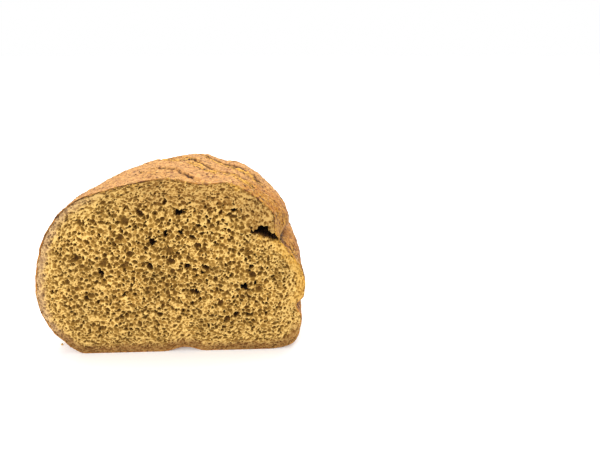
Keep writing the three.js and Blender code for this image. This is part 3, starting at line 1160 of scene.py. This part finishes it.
@dataclass
class BranFlakes:
    """Thin, many-sided flakes of bran that lie on the crust and stand up from the slashes."""

    crust: Crust
    place: FramePlace
    fine: FlakeSize = FlakeSize(2600, (0.25, 0.6), 0.13, 0.45)
    coarse: FlakeSize = FlakeSize(520, (0.5, 1.15), 0.3, 0.8)
    sides: int = 6
    tilt: float = 0.22
    bare_rows_at_cut: int = 6
    bare_rows_at_tip: int = 4
    seed: int = 13

    def build(self, material: bpy.types.Material) -> bpy.types.Object:
        """Builds all the flakes as one mesh.

        Args:
            material: The flakes' finish.

        Returns:
            The flakes object.
        """
        random = np.random.default_rng(self.seed)
        rows = slice(self.bare_rows_at_cut, -self.bare_rows_at_tip)
        crust = self.crust
        spots, normals, zones = (grid[rows] for grid in (crust.points, crust.normals, crust.zones))
        spread = np.linalg.norm(np.roll(spots, -1, axis=1) - spots, axis=-1)
        weight = spread * smooth(spots[..., 2], 3, 8)
        lips = weight * (smooth(zones[..., 1], 0.05, 0.3) + 0.5 * zones[..., 0] + 0.04)
        turn = np.linspace(0, math.tau, self.sides, endpoint=False)
        all_points, all_faces, all_zones = [], [], []
        for size, chance in ((self.fine, weight), (self.coarse, lips)):
            flat = (chance / chance.sum()).ravel()
            for index in random.choice(len(flat), size.count, p=flat):
                at = spots.reshape(-1, 3)[index]
                normal = normals.reshape(-1, 3)[index]
                tilted = normal + random.normal(0, self.tilt, 3)
                tilted /= np.linalg.norm(tilted)
                side = np.cross(tilted, [0.3, 0.9, 0.2])
                side /= np.linalg.norm(side)
                front = np.cross(tilted, side)
                radius = random.uniform(*size.radius)
                reach = radius * random.uniform(0.6, 1.15, (self.sides, 1))
                angle = (turn + random.uniform(0, math.tau))[:, None]
                stretch = random.uniform(0.5, 0.9)
                ring = reach * (np.cos(angle) * side + stretch * np.sin(angle) * front)
                ring = at + ring + tilted * size.thick * 0.2
                start = len(all_points) * (self.sides + 2)
                all_points.append(np.vstack([ring, at + tilted * size.thick, at - tilted * size.thick]))
                for i in range(self.sides):
                    j = (i + 1) % self.sides
                    all_faces.append((start + i, start + j, start + self.sides))
                    all_faces.append((start + j, start + i, start + self.sides + 1))
                shade = float(random.random() < size.dark)
                all_zones.append(np.tile([shade, random.random(), 0.0], (self.sides + 2, 1)))
        points = self.place.to_frame(np.concatenate(all_points))
        return mesh_piece("bran_flakes", points, all_faces, np.concatenate(all_zones), material)


@dataclass
class LooseCrumbs:
    """Crumbs that fell beside the loaf, and torn bits that cling to the cut's upper edge."""

    form: LoafForm
    place: FramePlace
    fallen: int = 26
    fallen_radius: tuple[float, float] = (0.25, 0.75)
    fallen_across: tuple[float, float] = (-67.3, -60.5)
    fallen_along: tuple[float, float] = (1.5, 50.0)
    clinging: int = 90
    clinging_radius: tuple[float, float] = (0.25, 0.6)
    rings: int = 4
    sides: int = 7
    seed: int = 29

    def lump(self, random: np.random.Generator, radius: float) -> np.ndarray:
        """Makes one uneven lump: two poles with rings between them.

        Args:
            random: Where its draws come from.
            radius: Its radius before it is made uneven.

        Returns:
            Its points about its own middle.
        """
        turn = np.linspace(0, math.tau, self.sides, endpoint=False)
        points = [[0.0, 0.0, -1.0]]
        for tilt in np.linspace(0, math.pi, self.rings + 2)[1:-1]:
            out, height = np.sin(tilt), np.full(self.sides, -np.cos(tilt))
            ring = np.stack([out * np.cos(turn), out * np.sin(turn), height], axis=1)
            points.extend(ring.tolist())
        points.append([0.0, 0.0, 1.0])
        uneven = random.uniform(0.65, 1.25, (len(points), 1))
        return np.array(points) * uneven * random.uniform(0.6, 1.2, 3) * radius

    def lump_faces(self, start: int) -> list[tuple[int, ...]]:
        """Lists the faces of one lump.

        Args:
            start: The number of the lump's first point.

        Returns:
            The point numbers of each face.
        """
        faces = []
        last = start + 1 + self.rings * self.sides
        for i in range(self.sides):
            j = (i + 1) % self.sides
            faces.append((start, start + 1 + j, start + 1 + i))
            for ring in range(self.rings - 1):
                low, high = start + 1 + ring * self.sides, start + 1 + (ring + 1) * self.sides
                faces.append((low + i, low + j, high + j, high + i))
            faces.append((last - self.sides + i, last - self.sides + j, last))
        return faces

    def build(self, material: bpy.types.Material) -> bpy.types.Object:
        """Builds all the crumbs as one mesh.

        Args:
            material: The crumb's finish.

        Returns:
            The crumbs object.
        """
        random = np.random.default_rng(self.seed)
        outline = self.form.outline(600)
        upper = outline[(outline[:, 1] > 66) & (np.abs(outline[:, 0] - 10) < 48)]
        points, faces, zones = [], [], []
        for number in range(self.fallen + self.clinging):
            start = len(points) * (2 + self.rings * self.sides)
            if number < self.fallen:
                lump = self.lump(random, random.uniform(*self.fallen_radius))
                lump += [random.uniform(*self.fallen_across), random.uniform(*self.fallen_along), 0]
                lump[:, 2] -= lump[:, 2].min()
            else:
                radius = random.uniform(*self.clinging_radius)
                across, up = upper[random.integers(len(upper))]
                lump = self.lump(random, radius)
                lump += [across, random.uniform(0.3, 0.9), up - random.uniform(0.1, 0.9)]
            points.append(lump)
            faces.extend(self.lump_faces(start))
            shade = np.array([random.uniform(0, 0.1), 0.0, random.uniform(0, 0.5), random.uniform(0, 0.9)])
            zones.append(np.tile(shade, (len(lump), 1)))
        return mesh_piece(
            "loose_crumbs", self.place.to_frame(np.concatenate(points)), faces, np.concatenate(zones),
            material,
        )


# --------------------------------------------------------------------------- finishes


def bare_material(name: str) -> tuple[bpy.types.Material, bpy.types.NodeTree]:
    """Makes a material that has no nodes yet.

    Args:
        name: The material's name.

    Returns:
        The material and its node tree.
    """
    material = bpy.data.materials.new(name)
    material.use_nodes = True
    material.node_tree.nodes.clear()
    return material, material.node_tree


@dataclass(frozen=True)
class BakedCrust:
    """Baked wholemeal crust: matt and dry, tan on top, toasted at the sides, flecked with bran."""

    top: str = "#bb8850"
    shoulder: str = "#b47a34"
    flank: str = "#985a0c"
    low: str = "#a46d22"
    opening: str = "#c69234"
    # Painted shade between the torn threads.
    between: str = "#5f350e"
    # Painted shade in creases, the split, the low fold and the recess; also the crust's dark cut edge.
    crease: str = "#35160a"
    cream: str = "#d6a862"
    toasted: str = "#6a3510"
    bran: str = "#3f1d0a"
    # Bran flecks are a millimetre or two wide, with coarse bits a few millimetres apart, and the
    # bake changes over a finger's width. The skin's own grain is about 0.3 mm, too fine to show,
    # so it is drawn more than twice as coarse.
    fleck_mm: float = 1.5
    bran_gap_mm: float = 2.3
    bend_mm: float = 1.6
    mottle_mm: float = 3.0
    patch_mm: float = 12.0
    grain_mm: float = 0.7

    def coarse_bran(self, tree: bpy.types.NodeTree, place: bpy.types.NodeSocket) -> bpy.types.NodeSocket:
        """Adds the pattern of coarse bran: uneven bits of many sizes.

        Args:
            tree: The crust's node tree.
            place: The socket that gives each point's place.

        Returns:
            The socket that gives how much bran a point has.
        """
        # A bent lookup keeps the bits from being round, and each cell's own chance value leaves
        # most of them small or out altogether.
        bend = add_node(tree, "ShaderNodeTexNoise", {
            "Scale": 1 / (self.grain_mm * MM), "Detail": 1.0,
        }, {"Vector": place}).outputs["Color"]
        bent = add_node(tree, "ShaderNodeVectorMath", {
            "operation": "MULTIPLY_ADD", 1: (self.bend_mm * MM,) * 3,
        }, {0: bend, 2: place}).outputs["Vector"]
        dots = add_node(tree, "ShaderNodeTexVoronoi", {
            "Scale": 1 / (self.bran_gap_mm * MM),
        }, {"Vector": bent}).outputs
        chance = add_node(tree, "ShaderNodeSeparateColor", links={"Color": dots["Color"]}).outputs["Red"]
        away = add_node(tree, "ShaderNodeMath", {"operation": "MULTIPLY_ADD", 1: 0.28},
                        {0: chance, 2: dots["Distance"]}).outputs["Value"]
        return add_node(tree, "ShaderNodeMapRange", {
            "From Min": 0.32, "From Max": 0.20, "To Min": 0.0, "To Max": 0.85,
        }, {"Value": away}).outputs["Result"]

    def build(self) -> bpy.types.Material:
        """Builds the crust material.

        Returns:
            The new material.
        """
        material, tree = bare_material("baked_wholemeal_crust")
        place = add_node(tree, "ShaderNodeTexCoord").outputs["Object"]
        zones = add_node(tree, "ShaderNodeAttribute", {"attribute_name": "zones"}).outputs
        split = add_node(tree, "ShaderNodeSeparateColor", links={"Color": zones["Color"]}).outputs

        # The skin by how far it is toasted, in patches; then the torn openings, with painted shade
        # between their threads.
        patches = add_node(tree, "ShaderNodeTexNoise", {
            "Scale": 1 / (self.patch_mm * MM), "Detail": 4.0, "Roughness": 0.6,
        }, {"Vector": place}).outputs["Fac"]
        shifted = add_node(tree, "ShaderNodeMath", {
            "operation": "MULTIPLY_ADD", 1: 0.7, 2: -0.35,
        }, {0: patches}).outputs["Value"]
        toast = add_node(tree, "ShaderNodeMath", {"operation": "ADD", "use_clamp": True},
                         {0: split["Blue"], 1: shifted}).outputs["Value"]
        skin = add_node(tree, "ShaderNodeValToRGB", {"color_ramp": [
            (0.0, linear(self.top)), (0.35, linear(self.shoulder)),
            (0.75, linear(self.flank)), (1.0, linear(self.low)),
        ]}, {"Fac": toast}).outputs["Color"]
        torn = add_node(tree, "ShaderNodeMix", {"data_type": "RGBA", COLOUR_B: linear(self.opening)},
                        {FACTOR: split["Red"], COLOUR_A: skin}).outputs[MIXED]
        torn = add_node(tree, "ShaderNodeMix", {"data_type": "RGBA", COLOUR_A: linear(self.between)},
                        {FACTOR: zones["Alpha"], COLOUR_B: torn}).outputs[MIXED]
        mottle = add_node(tree, "ShaderNodeTexNoise", {
            "Scale": 1 / (self.mottle_mm * MM), "Detail": 3.0, "Roughness": 0.7,
        }, {"Vector": place}).outputs["Fac"]
        baked = add_node(tree, "ShaderNodeMapRange", {
            "From Min": 0.3, "From Max": 0.7, "To Min": 0.6, "To Max": 1.3,
        }, {"Value": mottle}).outputs["Result"]
        colour = add_node(tree, "ShaderNodeHueSaturation", links={
            "Value": baked, "Color": torn,
        }).outputs["Color"]

        # Flecks of bran in the skin: pale ones and toasted ones, a millimetre or so apart.
        cells = add_node(tree, "ShaderNodeTexNoise", {
            "Scale": 1 / (self.fleck_mm * MM), "Detail": 3.0, "Roughness": 0.65, "Distortion": 0.8,
        }, {"Vector": place}).outputs["Fac"]
        pale = add_node(tree, "ShaderNodeMapRange", {
            "From Min": 0.55, "From Max": 0.66, "To Min": 0.0, "To Max": 0.8,
        }, {"Value": cells}).outputs["Result"]
        dark = add_node(tree, "ShaderNodeMapRange", {
            "From Min": 0.47, "From Max": 0.36, "To Min": 0.0, "To Max": 0.95,
        }, {"Value": cells}).outputs["Result"]
        for code, amount in (
            (self.cream, pale),
            (self.toasted, dark),
            (self.bran, self.coarse_bran(tree, place)),
            # Painted shade in creases and the recess, and the crust's dark cut edge, by the zones' green.
            (self.crease, split["Green"]),
        ):
            colour = add_node(tree, "ShaderNodeMix", {"data_type": "RGBA", COLOUR_B: linear(code)},
                              {FACTOR: amount, COLOUR_A: colour}).outputs[MIXED]

        grain = add_node(tree, "ShaderNodeTexNoise", {
            "Scale": 1 / (self.grain_mm * MM), "Detail": 2.0,
        }, {"Vector": place}).outputs["Fac"]
        rough = add_node(tree, "ShaderNodeMapRange", {"To Min": 0.5, "To Max": 0.8},
                         {"Value": cells}).outputs["Result"]
        pitted = add_node(tree, "ShaderNodeBump", {"Strength": 0.5, "Distance": 0.3 * MM},
                          {"Height": grain}).outputs["Normal"]
        bumpy = add_node(tree, "ShaderNodeBump", {"Strength": 0.6, "Distance": 0.5 * MM},
                         {"Height": cells, "Normal": pitted}).outputs["Normal"]
        shader = add_node(tree, "ShaderNodeBsdfPrincipled", {"IOR": 1.45, "Specular IOR Level": 0.2},
                          {"Base Color": colour, "Roughness": rough, "Normal": bumpy})
        add_node(tree, "ShaderNodeOutputMaterial", links={"Surface": shader.outputs["BSDF"]})
        return material


@dataclass(frozen=True)
class WheatCrumb:
    """Wholemeal crumb: matt, pale yellow cell walls; painted shade makes the hollows olive-gold and brown."""

    wall: str = "#dcb569"
    # Past the wall colour the ramp is painted shade, deepening with depth down to black in the pits.
    web: str = "#ae8540"
    hollow_shade: str = "#866224"
    deep: str = "#5a3b12"
    pit_shade_colour: str = "#170b03"
    tan: str = "#b8977a"
    # Toasted near the crust; it also only darkens the crumb faintly in a wide band under the top.
    toasted: str = "#764823"
    torn: str = "#d3a148"
    bran: str = "#7c4616"
    # Bran specks are about a millimetre wide, and the shade changes over a finger's width.
    speck_mm: float = 0.9
    patch_mm: float = 16.0

    def build(self) -> bpy.types.Material:
        """Builds the crumb material.

        Returns:
            The new material.
        """
        material, tree = bare_material("wholemeal_crumb")
        place = add_node(tree, "ShaderNodeTexCoord").outputs["Object"]
        zones = add_node(tree, "ShaderNodeAttribute", {"attribute_name": "zones"}).outputs
        split = add_node(tree, "ShaderNodeSeparateColor", links={"Color": zones["Color"]}).outputs

        # Painted shade by how deep the knife's opening goes: pale walls, then webs, hollows and pits.
        foam = add_node(tree, "ShaderNodeValToRGB", {"color_ramp": [
            (0.0, linear(self.wall)), (0.05, linear(self.web)), (0.17, linear(self.hollow_shade)),
            (0.45, linear(self.deep)), (0.75, linear(self.pit_shade_colour)),
        ]}, {"Fac": split["Red"]}).outputs["Color"]
        specks = add_node(tree, "ShaderNodeTexNoise", {
            "Scale": 1 / (self.speck_mm * MM), "Detail": 3.0, "Roughness": 0.6,
        }, {"Vector": place}).outputs["Fac"]
        bran = add_node(tree, "ShaderNodeMapRange", {
            "From Min": 0.60, "From Max": 0.70, "To Min": 0.0, "To Max": 0.75,
        }, {"Value": specks}).outputs["Result"]
        colour = add_node(tree, "ShaderNodeMix", {"data_type": "RGBA", COLOUR_B: linear(self.bran)},
                          {FACTOR: bran, COLOUR_A: foam}).outputs[MIXED]
        # Tints towards the crust, each up to the most of it that shows.
        for code, amount, most in (
            (self.tan, split["Green"], 0.54),
            (self.toasted, split["Blue"], 0.7),
            (self.torn, zones["Alpha"], 0.6),
        ):
            share = add_node(tree, "ShaderNodeMapRange", {"To Max": most}, {"Value": amount})
            colour = add_node(tree, "ShaderNodeMix", {"data_type": "RGBA", COLOUR_B: linear(code)},
                              {FACTOR: share.outputs["Result"], COLOUR_A: colour}).outputs[MIXED]
        patches = add_node(tree, "ShaderNodeTexNoise", {
            "Scale": 1 / (self.patch_mm * MM), "Detail": 4.0, "Roughness": 0.65,
        }, {"Vector": place}).outputs["Fac"]
        light = add_node(tree, "ShaderNodeMapRange", {
            "From Min": 0.3, "From Max": 0.7, "To Min": 0.84, "To Max": 1.16,
        }, {"Value": patches}).outputs["Result"]
        colour = add_node(tree, "ShaderNodeHueSaturation", links={
            "Value": light, "Color": colour,
        }).outputs["Color"]
        bumpy = add_node(tree, "ShaderNodeBump", {"Strength": 0.5, "Distance": 0.3 * MM},
                         {"Height": specks}).outputs["Normal"]
        shader = add_node(tree, "ShaderNodeBsdfPrincipled", {
            "IOR": 1.4, "Roughness": 0.85, "Specular IOR Level": 0.25,
        }, {"Base Color": colour, "Normal": bumpy})
        add_node(tree, "ShaderNodeOutputMaterial", links={"Surface": shader.outputs["BSDF"]})
        return material


@dataclass(frozen=True)
class BranHusk:
    """Bran husk: thin dry flakes, some cream and some toasted dark brown, with a faint sheen."""

    cream: str = "#c69a58"
    toasted: str = "#4a260c"

    def build(self) -> bpy.types.Material:
        """Builds the bran material.

        Returns:
            The new material.
        """
        material, tree = bare_material("bran_husk")
        zones = add_node(tree, "ShaderNodeAttribute", {"attribute_name": "zones"}).outputs["Color"]
        split = add_node(tree, "ShaderNodeSeparateColor", links={"Color": zones}).outputs
        husk = add_node(tree, "ShaderNodeMix", {
            "data_type": "RGBA", COLOUR_A: linear(self.cream), COLOUR_B: linear(self.toasted),
        }, {FACTOR: split["Red"]}).outputs[MIXED]
        light = add_node(tree, "ShaderNodeMapRange", {"To Min": 0.7, "To Max": 1.2},
                         {"Value": split["Green"]}).outputs["Result"]
        colour = add_node(tree, "ShaderNodeHueSaturation", links={
            "Value": light, "Color": husk,
        }).outputs["Color"]
        shader = add_node(tree, "ShaderNodeBsdfPrincipled", {"IOR": 1.45, "Roughness": 0.6},
                          {"Base Color": colour})
        add_node(tree, "ShaderNodeOutputMaterial", links={"Surface": shader.outputs["BSDF"]})
        return material


# --------------------------------------------------------------------------- studio


@dataclass(frozen=True)
class Studio:
    """White floor, white surroundings, soft light from above, and the camera."""

    place: FramePlace
    focal_mm: float = 27.0
    sensor_mm: float = 36.0
    pitch_deg: float = 22.0
    yaw_deg: float = -2.33
    camera_mm: tuple[float, float, float] = (56.9, -203.2, 155.1)
    clip_start: float = 0.01
    floor_size: float = 12.0
    floor_grey: float = 0.9
    floor_glow: float = 0.12
    # Soft lights: name, place and size in metres, and power in watts. They point at the loaf's middle.
    lamps: tuple[tuple[str, tuple[float, float, float], float, float], ...] = (
        ("overhead", (0.1, 0.25, 0.9), 0.7, 9.0),
        ("front_fill", (-0.5, -0.9, 0.7), 0.6, 5.0),
    )
    lit_place: tuple[float, float, float] = (0.0, 0.0, 0.04)

    def camera(self) -> None:
        """Adds the camera: beyond the cut face, a little right of it, looking down."""
        lens = bpy.data.cameras.new("camera")
        lens.lens = self.focal_mm
        lens.sensor_width = self.sensor_mm
        lens.clip_start = self.clip_start
        camera = bpy.data.objects.new("camera", lens)
        bpy.context.scene.collection.objects.link(camera)
        pitch, yaw = math.radians(self.pitch_deg), math.radians(self.yaw_deg)
        level = math.cos(pitch)
        ahead = Vector((-math.sin(yaw) * level, math.cos(yaw) * level, -math.sin(pitch)))
        right = Vector((math.cos(yaw), math.sin(yaw), 0))
        up = right.cross(ahead)
        middle = (self.place.low.x + self.place.high.x) / 2 - self.place.middle_across * MM
        spot = Vector((middle, self.place.low.y, 0)) + Vector(self.camera_mm) * MM
        turn = Matrix((right, up, -ahead)).transposed()
        camera.matrix_world = Matrix.Translation(spot) @ turn.to_4x4()
        bpy.context.scene.camera = camera

    def floor(self) -> None:
        """Adds the plain white floor."""
        mesh = bpy.data.meshes.new("floor")
        half = self.floor_size / 2
        corners = [(-half, -half, 0), (half, -half, 0), (half, half, 0), (-half, half, 0)]
        mesh.from_pydata(corners, [], [(0, 1, 2, 3)])
        # Matt white paper: it takes a soft shadow and shows no reflection.
        material = bpy.data.materials.new("white_paper_sweep")
        material.use_nodes = True
        shader = material.node_tree.nodes["Principled BSDF"]
        shader.inputs["Base Color"].default_value = (*[self.floor_grey] * 3, 1)
        shader.inputs["Roughness"].default_value = 0.7
        shader.inputs["Specular IOR Level"].default_value = 0.1
        shader.inputs["Emission Color"].default_value = (1, 1, 1, 1)
        shader.inputs["Emission Strength"].default_value = self.floor_glow
        mesh.materials.append(material)
        floor = bpy.data.objects.new("floor", mesh)
        bpy.context.scene.collection.objects.link(floor)

    def lights(self) -> None:
        """Adds the white surroundings and the soft lights."""
        scene = bpy.context.scene
        world = bpy.data.worlds.new("white_room")
        world.use_nodes = True
        background = world.node_tree.nodes["Background"]
        background.inputs["Color"].default_value = (1, 1, 1, 1)
        background.inputs["Strength"].default_value = 1.0
        scene.world = world
        for name, spot, size, power in self.lamps:
            light = bpy.data.lights.new(name, "AREA")
            light.size = size
            light.energy = power
            lamp = bpy.data.objects.new(name, light)
            lamp.location = spot
            ahead = Vector(self.lit_place) - Vector(spot)
            lamp.rotation_euler = ahead.to_track_quat("-Z", "Y").to_euler()
            scene.collection.objects.link(lamp)
        scene.view_settings.view_transform = "Standard"

    def build(self) -> None:
        """Sets up floor, lights and camera."""
        self.floor()
        self.lights()
        self.camera()


def main() -> None:
    """Builds the half loaf round the frame, and its studio."""
    logging.basicConfig(level=logging.INFO, format="%(message)s")
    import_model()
    form = LoafForm()
    outline = form.outline(400)
    low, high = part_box(NODE)
    place = FramePlace(low, high, float(outline[:, 0].min() + outline[:, 0].max()) / 2)
    Studio(place).build()

    crust = Crust(form, place)
    crust.build(BakedCrust().build())
    wheat_crumb = WheatCrumb().build()
    Crumb(form, place).build(wheat_crumb)
    LooseCrumbs(form, place).build(wheat_crumb)
    BranFlakes(crust, place).build(BranHusk().build())


if __name__ == "__main__":
    main()
